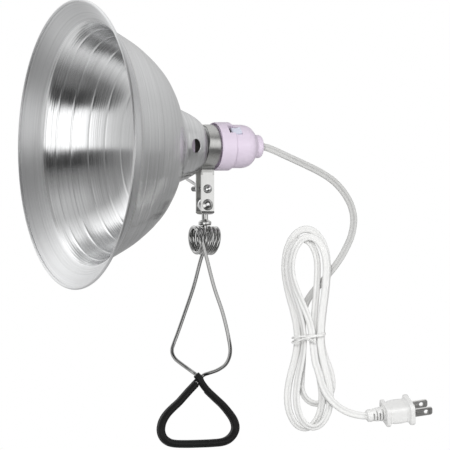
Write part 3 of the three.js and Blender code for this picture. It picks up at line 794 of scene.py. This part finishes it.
# ---- reflector ----
SHEET = 0.8
NECK_R = 15.3
RIM_BEAD = 1.15
BOWL = [
    (-105.6, 108.0), (-102.5, 104.4), (-99.4, 100.9), (-96.2, 97.0), (-93.4, 93.4), (-91.6, 91.4),
    (-89.6, 90.0), (-84.0, 87.0), (-77.5, 83.4), (-70.5, 79.5), (-64.3, 75.4), (-58.0, 70.6),
    (-52.2, 65.6), (-47.0, 60.4), (-42.9, 55.2), (-39.3, 49.8), (-36.2, 44.0), (-34.0, 39.0),
    (-32.0, 34.8), (-29.6, 31.3), (-27.0, 29.3), (-24.0, 28.1), (-20.7, 26.7), (-14.5, 24.0),
    (-8.6, 20.4), (-5.4, 17.4), (-3.6, NECK_R + 0.25), (-1.0, NECK_R), (6.4, NECK_R),
]
STEPS_X = (-83.8, -74.0, -62.4, -52.6, -43.4)  # creases that the roller left between its passes
RIDGE = 0.2
RIDGE_WIDTH = 0.55
STEP = 0.12
STEP_LENGTH = 9.0
# Fine turning marks inside the bowl: from and to along the axis, how many, how deep.
GROOVES = [
    (-98.0, -86.4, 8, 0.042), (-72.0, -67.0, 3, 0.012),
    (-60.8, -55.0, 5, 0.022), (-50.4, -46.0, 3, 0.012),
]
BOWL_TILT = math.radians(0.65)  # the bowl sits a touch askew in its band
VENT_R = 5.25
VENT_X = -18.4
VENT_OUT = 25.7
VENT_LEAN = math.radians(24.5)


def make_reflector():
    line = through([(x, r, 0) for x, r in BOWL], step=0.42)[:, :2]
    way = tangents(line)
    out = np.stack([-way[:, 1], way[:, 0]], axis=1)  # away from the lamp axis
    out *= np.sign(out[:, 1:])
    x = line[:, 0]
    # each crease is a narrow ridge, then a small step that swells back before the next
    relief = np.zeros(len(x))
    for crease in STEPS_X:
        u = (x - crease) / STEP_LENGTH
        swell = (1 - u) ** 2 * np.minimum(x - crease, 1.0)
        relief += STEP * np.where((u > 0) & (u < 1), swell, 0.0)
        relief += RIDGE * np.exp(-((x - crease) / RIDGE_WIDTH) ** 2)
    fine = np.zeros(len(x))
    for start, end, count, depth in GROOVES:
        u = (x - start) / (end - start)
        fine += np.where((u > 0) & (u < 1), depth * np.sin(u * count * TAU), 0.0)
    outer = line - out * relief[:, None]
    inner = line - out * (SHEET + relief + fine)[:, None]
    # the sheet ends in a rolled bead, which takes up its last stretch
    rim_x, rim_r = BOWL[0]
    turn = np.radians(np.linspace(290, 60, 18))
    lip = np.stack([rim_x + 0.5 + RIM_BEAD * np.cos(turn), rim_r - 0.6 + RIM_BEAD * np.sin(turn)], axis=1)
    keep = x > rim_x + 1.6
    profile = np.vstack([outer[keep], inner[keep][::-1], lip])
    bowl = LAMP @ Matrix.Rotation(BOWL_TILT, 4, "Y")
    obj = turned("spun_reflector", profile, bowl, "aluminium", sides=256, smooth_angle=50)
    foot = VENT_X - VENT_OUT * math.tan(VENT_LEAN)
    cutters = []
    for k in range(4):
        quarter = moved(bowl @ Matrix.Rotation(k * TAU / 4, 4, "X"), foot, 0, 0)
        leaning = quarter @ Matrix.Rotation(-VENT_LEAN, 4, "Z")
        cutters.append(bar("vent", VENT_R, 8, 44, leaning, "aluminium", sides=48))
    carved(obj, *cutters, smooth_angle=40)
    return placed(obj, "lamp_head", "spun_aluminium", "reflector")


make_reflector()


# ---- lampholder ----
COLLAR_R = 18.2
CAP_R = 16.3
CAP_END_X = 45.5
WINDOW = (-6.4, 4.7, 3.9)  # the switch window's two ends and half its width
ROCKER_TILT = math.radians(8)


def switch_window():
    low, high, half = WINDOW
    return box("window", (low, high), (-half, half), (-8, 8), SWITCH, "lilac")


def shell(name, profile, node):
    """A lilac shell turned about the lamp axis, with the switch window cut through it."""
    obj = turned(name, rounded(profile, closed=True), LAMP, "lilac", sides=160)
    carved(obj, switch_window())
    return placed(obj, "lamp_head", "lilac_shell", node)


def make_shells():
    shell("front_shell", [
        (-24, 13.8, 0.3), (-24, 14.2, 0.3), (9.6, 14.2, 0.2), (9.6, 17.1, 0.3), (7.2, 17.2, 0.3),
        (7.0, 17.9, 0.4), (8.2, COLLAR_R, 0.9), (18.6, COLLAR_R, 0.6), (19.2, COLLAR_R - 0.5, 0.4),
        (19.2, 16.6, 0.2), (10.4, 16.6, 0.2), (10.4, 13.8, 0.3),
    ], "lampholder_collar")
    shell("rear_shell", [
        (10.6, CAP_R, 0.3), (30.4, CAP_R, 2.6), (34.6, 15.2, 2.2), (37.6, 12.4, 1.8), (39.7, 9.5, 1.2),
        (41.0, 8.75, 0.8), (CAP_END_X, 8.7, 2.2), (CAP_END_X, 3.6, 0.8),
        (44.2, 2.95, 0.4), (43.6, 3.4, 0.2), (43.6, 7.1, 0.4), (39.4, 7.1, 0.4), (38.0, 9.0, 0.8),
        (36.0, 11.2, 0.8), (34.4, 12.9, 0.8), (32.6, 14.0, 0.8), (30.6, 14.6, 0.5), (10.6, 14.6, 0.2),
    ], "lampholder_cap")


def make_painted_shade_seat():
    """A dark seat under the rocker, with a raised block at its left end, put where the gap about the
    rocker lies in shade: painted shade.
    """
    low, high, half = WINDOW
    across = (-half - 0.2, half + 0.2)
    parts = []
    for end, heights in ((high + 0.2, (-3.8, -2.9)), (low + 1.9, (-3.2, -0.6))):
        part = box("seat", (low - 0.3, end), across, heights, SWITCH, "phenolic")
        parts.append(bevelled(part, 0.1))
    return placed(merged("painted_shade_seat", *parts), "lamp_head", "phenolic")


def make_neck_shade_ring():
    """A dark ring in the neck, seen through the vents, standing in for the shade inside the neck: painted
    shade.
    """
    ends = (-14.4, -10.0)
    inner, outer = 14.0, 14.45
    profile = [(ends[0], inner), (ends[1], inner), (ends[1], outer), (ends[0], outer)]
    return placed(turned("neck_painted_shade", profile, LAMP, "phenolic"), "lamp_head", "phenolic")


def make_rocker():
    """A dished rocker with rounded ends, tipped to its left side."""
    centre_x, half_x, half_y = 0.7, 3.6, 3.1
    foot = -1.2
    columns, rows = 29, 17
    verts = []
    for is_top in (True, False):
        for v in np.linspace(-1, 1, rows):
            for u in np.linspace(-1, 1, columns):
                edge = max(abs(u), abs(v))
                dish = 0.75 + 0.85 * u ** 2 + 0.25 * (1 - v ** 2)
                fall = 0.55 * max(0.0, (edge - 0.86) / 0.14) ** 2
                verts.append((centre_x + half_x * u, half_y * v, dish - fall if is_top else foot))
    tilted = SWITCH @ Matrix.Rotation(-ROCKER_TILT, 4, "Y")
    rocker = piece("rocker_button", verts, sheet_faces(columns, rows), tilted, "rocker", 50)
    return placed(rocker, "rocker", "pale_rocker", "switch_rocker")


make_shells()
make_painted_shade_seat()
make_rocker()
make_neck_shade_ring()


# ---- band, screw and wing nut ----
BAND_R = (15.6, 16.4)
EAR_X = (-5.2, 5.4)
EAR_Y = (4.2, 5.2)
EAR_TOP = -19.6
EAR_END = -51.1
LIP_Z = -47.9  # where each ear's end begins to curl outward
SEAT_R = BALL_R + 0.2  # the ears are dished over the ball


def strip_around():
    """The band: a strip round the neck that turns down into the two ears' roots."""
    inner, outer = BAND_R
    mid = (inner + outer) / 2
    half = (outer - inner) / 2
    ear_mid = sum(EAR_Y) / 2
    opening = math.degrees(math.asin(ear_mid / mid)) + 3
    path = []
    for a in np.radians(np.linspace(-90 + opening, 270 - opening, 180)):
        path.append((0, mid * math.cos(a), mid * math.sin(a)))
    heights = np.linspace(-21.5, -17.4, 8)
    front = [(0, ear_mid, z) for z in heights]
    back = [(0, -ear_mid, z) for z in heights[::-1]]
    line = through(front + path[::6] + [path[-1]] + back, step=0.7)
    edge = 0.35
    rings = []
    for p, way in zip(line, tangents(line)):
        out = np.cross(way, (1.0, 0, 0))
        if out[1] * p[1] + out[2] * p[2] < 0:
            out = -out
        # the band leans a little, and its strip narrows under the collar
        low = -3.4 + 0.1 * p[2]
        high = 6.9 - 1.5 * min(max((-6.0 - p[2]) / 12.0, 0.0), 1.0)
        section = [(low, 0), (low + edge * 0.4, half * 1.2), (low + edge, half), (high - edge, half),
                   (high - edge * 0.3, half * 0.8), (high, 0), (high - edge * 0.3, -half * 0.8),
                   (high - edge, -half), (low + edge, -half), (low + edge * 0.4, -half * 0.6)]
        rings.append([p + (a, 0, 0) + b * out for a, b in section])
    return skinned("band_strip", rings, LAMP, "band", smooth_angle=50)


def ear(sign):
    """One ear: a flat strap, dished about the ball's hole, with a curled lower lip."""
    columns, rows = 49, 131
    mid_x = sum(EAR_X) / 2
    half = (EAR_X[1] - EAR_X[0]) / 2
    crown = 0.18
    verts = []
    for face_y in EAR_Y:
        for v in np.linspace(0, 1, rows):
            for u in np.linspace(-1, 1, columns):
                x = mid_x + half * u
                # the lower end is cut in an arc
                z = EAR_TOP + (EAR_END - EAR_TOP) * v + 1.5 * abs(u) ** 3.2 * max(0.0, (v - 0.82) / 0.18)
                away = math.hypot(x - 0.1, z - BALL_Z)
                over_ball = math.sqrt(max(SEAT_R ** 2 - away ** 2, 0.0)) - EAR_Y[0]
                dish = math.log1p(math.exp(6 * over_ball)) / 6
                lip = 1.15 * max(0.0, (LIP_Z - z) / 2.8) ** 1.8
                verts.append((x, sign * (face_y + dish + lip - crown * u ** 2), z))
    strap = piece("ear", verts, sheet_faces(columns, rows), LAMP, "nickel" if sign < 0 else "band")
    ball_hole = bar("hole", 2.35, -12, 12, moved(LAMP, 0, 0, BALL_Z), "nickel", sides=48)
    screw_hole = bar("hole", 2.2, -12, 12, moved(LAMP, 0, 0, SCREW_Z), "nickel", sides=40)
    return carved(strap, ball_hole, screw_hole, smooth_angle=40)


def make_band():
    strap = merged("mounting_strap", strip_around(), ear(-1), ear(1))
    return placed(strap, "lamp_head", "nickel_steel", "mounting_band")


def make_screw():
    """A domed head in front of the ears, and a threaded shank through them."""
    head_y = -(EAR_Y[1] + 0.3)
    shank_r = 1.9
    thread_pitch = 0.62
    profile = rounded([
        (head_y - 2.7, 0), (head_y - 2.62, 1.0, 0.6), (head_y - 1.8, 2.5, 1.0), (head_y - 0.5, 3.3, 0.5),
        (head_y, 3.35, 0.2), (head_y, shank_r, 0.1), (-3.6, shank_r, 0.1),
    ])
    thread = []
    for k in range(40):
        y = -3.4 + k * thread_pitch
        thread += [(y, 1.95), (y + thread_pitch / 2, 1.6)]
    tail = [(21.0, shank_r), (21.5, 1.4), (21.5, 0)]
    screw = turned("strap_screw", np.vstack([profile, thread, tail]), moved(LAMP, 0, 0, SCREW_Z),
                   "chrome", "Y", 48, loop=False)
    return placed(screw, "lamp_head", "bright_steel", "band_screw")


def oval(centre, way, half_width, half_thick):
    """A wing's section across its way, which lies in the xy plane."""
    out = np.array([-way[1], way[0], 0.0])
    return [centre + a * half_width * out + (0, 0, b * half_thick) for a, b in circle(1.0, 24)]


def make_wing_nut():
    """A tapered hub with two wings that sweep back from the ear."""
    place = moved(LAMP, 0, 0, SCREW_Z) @ Matrix.Rotation(math.radians(40), 4, "Y")
    y0 = EAR_Y[1] + 0.35
    top = y0 + 5.2
    hub = rounded([
        (y0, 2.2, 0.1), (y0, 4.3, 0.4), (y0 + 3.2, 3.9, 0.4), (top, 3.2, 0.6), (top, 2.2, 0.2),
    ], closed=True)
    parts = [turned("hub", hub, place, "chrome", "Y", 48)]
    t = np.linspace(0, 1, 15)
    widths = 1.9 + 0.9 * np.sin(t * math.pi) + 0.5 * t
    for sign in (1, -1):
        path = np.stack([sign * (3.0 + 8.6 * t), y0 + 2.6 + 5.6 * t ** 1.7, 0 * t], axis=1)
        ways = tangents(path)
        rings = [oval(p, way, width, 0.8) for p, way, width in zip(path, ways, widths)]
        tip = oval(path[-1] + 0.9 * ways[-1], ways[-1], 0.9, 0.35)
        parts.append(skinned("wing", rings + [tip], place, "chrome", smooth_angle=50))
    return placed(merged("winged_nut", *parts), "nut", "bright_steel", "wing_nut")


make_band()
make_screw()
make_wing_nut()


# ---- ball and stud ----
def make_ball():
    angles = np.linspace(0, math.pi, 49)
    profile = [(-BALL_R * math.cos(a), max(BALL_R * math.sin(a), 0.0)) for a in angles]
    ball = turned("swivel_knob", profile, moved(LAMP, 0, 0, BALL_Z), "chrome", "Z", 64, loop=False)
    return placed(ball, "ball", "bright_steel", "swivel_ball")


COIL_R = 9.5
COIL_Z = (SPRING["pos_m"][2] - AXIS_Z) / MM
WIRE_R = 1.4


def make_stud():
    """Neck cupped under the ball, a flange, and a shank riveted over inside the coils."""
    cup_r = BALL_R + 0.3
    neck, flange_r, shank = 2.4, 4.85, 1.7
    cup = [(BALL_Z - math.sqrt(cup_r ** 2 - r ** 2), r) for r in np.linspace(0, neck - 0.15, 7)]
    head_top = COIL_Z + COIL_R - WIRE_R - 1.0
    rest = rounded([
        (BALL_Z - math.sqrt(cup_r ** 2 - neck ** 2) - 0.2, neck, 0.1), (-55.2, neck, 0.8),
        (-55.9, 4.2, 0.5), (-56.6, flange_r, 0.6), (-58.6, flange_r, 0.6), (-59.3, 4.2, 0.4),
        (-59.3, shank, 0.3), (head_top, shank, 0.3), (head_top, 3.1, 0.3), (head_top - 1.1, 2.8, 0.6),
        (head_top - 1.9, 1.2, 0.5), (head_top - 2.0, 0),
    ])
    stud = turned("swivel_pin", np.vstack([cup, rest]), LAMP, "nickel", "Z", 64, loop=False)
    return placed(stud, "stud", "nickel_steel", "swivel_stud")


make_ball()
make_stud()


# ---- spring wire: two legs and the coils between them ----
COIL_TOPS = (-9.05, -6.2, -3.35, 3.35, 6.2, 9.05)  # where the turns' tops lie along the axis
COIL_LEAN = 1.87  # how much nearer the middle the turns lie at the bottom
MIDDLE_TURN = (len(COIL_TOPS) - 0.5) / 2  # where the two halves of the coils meet
LEG_START = 0.16  # turns from the front at which a leg leaves the coils


def coil_across(turns):
    """Place along the coil axis after a number of turns, counted from the front, upward."""
    top = turns - 0.25  # the first top is a quarter turn on
    last = len(COIL_TOPS) - 1
    beyond = min(top, 0) + max(top - last, 0)
    across = np.interp(top, range(last + 1), COIL_TOPS) + beyond * (COIL_TOPS[1] - COIL_TOPS[0])
    lean = min(max(across / COIL_TOPS[3], -1), 1)
    return across - lean * COIL_LEAN * (1 - math.sin(TAU * turns)) / 2


def coil_point(turns):
    a = TAU * turns
    return (coil_across(turns), -COIL_R * math.cos(a), COIL_R * math.sin(a))


JAW_Y = 3.2
JAW_SHIFT = 1.0  # the two jaws stand a little to either side of each other
# The jaws' loop, from the apex down the right side, along the base and up the left side.
JAW_LOOP = [
    (0.6, -106.0), (5.3, -111.6), (13.2, -118.1), (19.3, -123.0), (24.2, -127.9), (28.4, -133.1),
    (30.3, -137.4), (30.5, -140.9), (28.8, -145.0), (25.2, -148.6), (20.7, -150.6), (12.9, -151.7),
    (-0.1, -152.6), (-11.4, -153.1), (-19.3, -153.0), (-23.7, -152.1), (-27.8, -149.5), (-30.0, -145.9),
    (-30.6, -142.2), (-29.5, -136.8), (-26.2, -131.3), (-21.5, -126.4), (-16.5, -121.9),
    (-12.3, -117.3), (-8.1, -112.7), (-4.4, -108.9), (-2.4, -106.8),
]
SLEEVE_R = 2.65
SLEEVE_BORE = 1.45


def turned_half(points):
    """Points turned half round the upright line, to the other side of the clamp."""
    return np.asarray(points, float) * (-1, -1, 1)


# Each leg below the coils, down by its knee to the apex of the jaws. The rear one is drawn turned
# half round. It runs straighter to a tighter knee.
FRONT_LEG = [
    (1.7, -16.6, -35.0), (8.9, -17.8, -54.0), (14.4, -17.6, -72.0), (17.0, -16.0, -82.0),
    (17.1, -13.6, -88.0), (15.5, -10.4, -93.0), (11.6, -5.4, -97.0), (7.6, -0.8, -99.2),
]
REAR_LEG = [
    (0.3, -16.4, -35.0), (6.1, -17.4, -54.0), (12.0, -17.3, -71.0), (14.9, -16.8, -78.2),
    (16.6, -15.7, -82.4), (16.5, -14.5, -86.2), (14.8, -13.0, -89.6), (11.6, -10.2, -92.8),
    (8.6, -7.6, -95.4), (6.2, -2.8, -98.2),
]


def leg_route(leg):
    """From the coil's tangent across the front of the coils, and down the leg."""
    start = np.array(coil_point(LEG_START))
    way = start - coil_point(LEG_START + 0.01)
    return [
        tuple(start + way / np.linalg.norm(way) * 0.5),
        (-9.3, -10.9, 4.6), (-7.9, -12.9, -0.6), (-6.5, -13.7, -5.8), (-4.3, -14.5, -13.5), *leg,
    ]


def jaw_route(front):
    """The wire over the apex and round the loop, for the front or the rear jaw."""
    over = np.array([(4.3, 2.4, -100.9), (1.4, JAW_Y, -103.9)])
    if front:
        over = turned_half(over)
    loop = JAW_LOOP if front else JAW_LOOP[-2:0:-1]
    shift, depth = (-JAW_SHIFT, -JAW_Y) if front else (JAW_SHIFT, JAW_Y)
    return [tuple(p) for p in over] + [(x + shift, depth, z) for x, z in loop]


def make_wires():
    """Each leg with half of the coils, bent over to its jaw, so the spring never parts."""
    half_coil = np.array([coil_point(t) for t in np.linspace(MIDDLE_TURN, LEG_START, 130)])
    for name, node, body, front in (
        ("front_leg", "front_leg_wire", "rear_jaw", False),
        ("rear_leg", "rear_leg_wire", "front_jaw", True),
    ):
        leg = np.array(leg_route(REAR_LEG if front else FRONT_LEG))
        coil, down = (turned_half(half_coil), turned_half(leg)) if front else (half_coil, leg)
        line = evenly(np.vstack([coil, through([*down, *jaw_route(front)], step=0.9)]), 0.9)
        wire = swept(name, line, circle(WIRE_R, 20), CLAMP, "wire", smooth_angle=60)
        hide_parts(node, "spring_coils")
        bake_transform(wire)


def make_sleeve(name, path):
    """A soft tube with open square ends, a little thicker in its lower half."""
    ways = tangents(path)
    edge = [
        (SLEEVE_BORE, 0.0), (SLEEVE_BORE + 0.25, -0.12), (SLEEVE_R - 0.4, -0.12), (SLEEVE_R - 0.1, 0.08),
    ]
    radii = np.interp(path[:, 2], (-151.5, -146.0, -134.0, -122.0), (2.95, 2.9, 2.85, SLEEVE_R))
    stations = [(path[0] + ways[0] * d, ways[0], r) for r, d in edge]
    stations += list(zip(path, ways, radii))[1:-1]
    stations += [(path[-1] - ways[-1] * d, ways[-1], r) for r, d in reversed(edge)]
    points, ways, sizes = zip(*stations)
    return swept(name, points, circle(1.0, 28), CLAMP, "vinyl", facing=(0, 1, 0), sizes=sizes,
                 ways=ways, smooth_angle=50)


def make_sleeves():
    for name, node, body, front in (
        ("rear_sleeve", "rear_jaw_sleeve", "rear_jaw", False),
        ("front_sleeve", "front_jaw_sleeve", "front_jaw", True),
    ):
        path = through(jaw_route(front)[0 if front else 1:], step=1.1)
        placed(make_sleeve(name, path[:-1]), body, "jaw_vinyl", node)


make_wires()
make_sleeves()


# ---- pieces that stay as the model has them ----
KEPT = {
    "phenolic": ["switch_body", "insulating_base", "cord_grip_bush"],
    "brass": [
        "screw_shell", "center_contact", "contact_rivet", "terminal_screw_hot", "terminal_screw_neutral",
    ],
    "dark_lead": ["lead_hot", "lead_switched"],
    "pale_lead": ["lead_neutral"],
}


def dress_kept():
    for look, nodes in KEPT.items():
        for node in nodes:
            mesh = frame["nodes"][node].data
            mesh.materials.clear()
            mesh.materials.append(LOOKS[look])
            mesh.polygons.foreach_set("material_index", [0] * len(mesh.polygons))


dress_kept()


# ---- floor, lights and surroundings ----
FLOOR_R = 2.2
FLOOR_Z = -0.16


def make_floor():
    verts = [(x, y, FLOOR_Z) for x, y in circle(FLOOR_R, 96)]
    mesh = bpy.data.meshes.new("floor")
    mesh.from_pydata(verts, [], [tuple(range(len(verts)))])
    n = Look("floor")
    speckle = n.ramp(n.noise(n.place(), 40.0), [(0.3, 0.86), (0.7, 0.88)])
    mesh.materials.append(n.finished(Base_Color=speckle, Roughness=0.8))
    floor = linked("floor", mesh)
    floor.visible_glossy = False


def area_light(name, place, size, watts):
    data = bpy.data.lights.new(name, "AREA")
    data.shape = "DISK"
    data.size = size
    data.energy = watts
    light = linked(name, data)
    light.location = VIEW_CENTRE + Vector(place)
    light.rotation_mode = "QUATERNION"
    light.rotation_quaternion = Vector(place).to_track_quat("Z", "Y")
    light.visible_glossy = False


class Surroundings(Nodes):
    """The nodes of a world. Its mixes and backgrounds are output sockets."""

    def __init__(self, world):
        super().__init__(world)
        self.tree.nodes.clear()
        self.sight = self.add("ShaderNodeTexCoord").outputs["Generated"]
        self.rays = self.add("ShaderNodeLightPath").outputs

    def along(self, direction):
        """How far the line of sight goes along a direction, from -1 to 1."""
        made = self.add("ShaderNodeVectorMath", self.sight, direction, operation="DOT_PRODUCT")
        return made.outputs["Value"]

    def scaled(self, value, factor, offset):
        return self.math("MULTIPLY_ADD", value, factor, offset)

    def mixed(self, factor, first, second, blend="MIX"):
        made = self.add("ShaderNodeMix", data_type="RGBA", blend_type=blend, Factor=factor)
        self.feed(first, made.inputs[6])
        self.feed(second, made.inputs[7])
        return made.outputs[2]

    def background(self, colour=(1, 1, 1, 1), strength=1.0):
        return self.add("ShaderNodeBackground", colour, strength).outputs[0]

    def switch(self, ray, otherwise, then):
        """One background for a kind of ray, another for the rest."""
        return self.add("ShaderNodeMixShader", self.rays[ray], otherwise, then).outputs[0]


def make_surroundings():
    """White behind the object, and for reflections a studio of soft panels and dark gaps."""
    world = bpy.data.worlds.new("studio")
    bpy.context.scene.world = world
    n = Surroundings(world)
    up = n.along((0, 0, 1))
    rightward = n.along((math.cos(VIEW_AZIMUTH), math.sin(VIEW_AZIMUTH), 0))
    frontward = n.along(BACK)
    across = n.scaled(rightward, 0.5, 0.5)
    # panels in front: a white band between dark gaps, which leans over all but the far left
    kink, lean = -0.19, -0.2
    leaning = n.scaled(n.math("MAXIMUM", rightward, kink), lean, n.scaled(up, 0.5, 0.585))
    panels = n.ramp(leaning, [
        (0.00, 0.44), (0.10, 0.30), (0.21, 0.17), (0.25, 0.02), (0.325, 0.03), (0.36, 1.7),
        (0.64, 1.7), (0.675, 0.04), (0.775, 0.04), (0.82, 0.20), (0.92, 0.40), (1.00, 0.62),
    ])
    # the white band has a grey stretch ahead and to the far left
    stretch = n.ramp(across, [
        (0.00, 0.20), (0.12, 0.26), (0.20, 0.32), (0.27, 0.48), (0.34, 1.0), (0.47, 1.0),
        (0.53, 0.42), (0.76, 0.42), (0.82, 0.74), (0.95, 0.74), (1.00, 0.40),
    ])
    # and to the left a soft haze lifts the dark gaps
    haze = n.ramp(across, [(0.0, 0.24), (0.18, 0.20), (0.33, 0.0)])
    banded = n.mixed(1.0, n.mixed(1.0, panels, stretch, "MULTIPLY"), haze, "ADD")
    # beside and behind: a plain sweep from a dark floor to a light ceiling
    sweep = n.ramp(n.scaled(up, 0.5, 0.5), [
        (0.0, 0.52), (0.18, 0.42), (0.32, 0.30), (0.45, 0.40), (0.55, 0.53), (0.75, 0.74), (1.0, 0.90),
    ])
    # brighter on the left, where the mouth of the bowl points
    leftward = n.ramp(across, [(0.0, 1.9), (0.30, 1.7), (0.46, 1.0), (1.0, 0.95)])
    beside = n.mixed(1.0, sweep, leftward, "MULTIPLY")
    studio = n.background(n.mixed(n.scaled(frontward, 2.2, 0.35), beside, banded))
    # diffuse light comes mostly from the front and above
    ambient = n.ramp(n.scaled(up, 0.12, n.scaled(frontward, 0.40, 0.48)), [
        (0.0, 0.36), (0.3, 0.14), (0.5, 0.12), (1.0, 0.66),
    ])
    lit = n.switch("Is Diffuse Ray", studio, n.background(strength=ambient))
    n.add("ShaderNodeOutputWorld", n.switch("Is Camera Ray", lit, n.background()))


make_floor()
make_surroundings()
area_light("key", BACK * 2.2 + Vector((-0.35, 0, 1.0)), 0.7, 30)
area_light("fill", BACK * 1.6 + Vector((1.5, 0, 0.2)), 0.9, 7)
bpy.context.scene.view_settings.view_transform = "Standard"
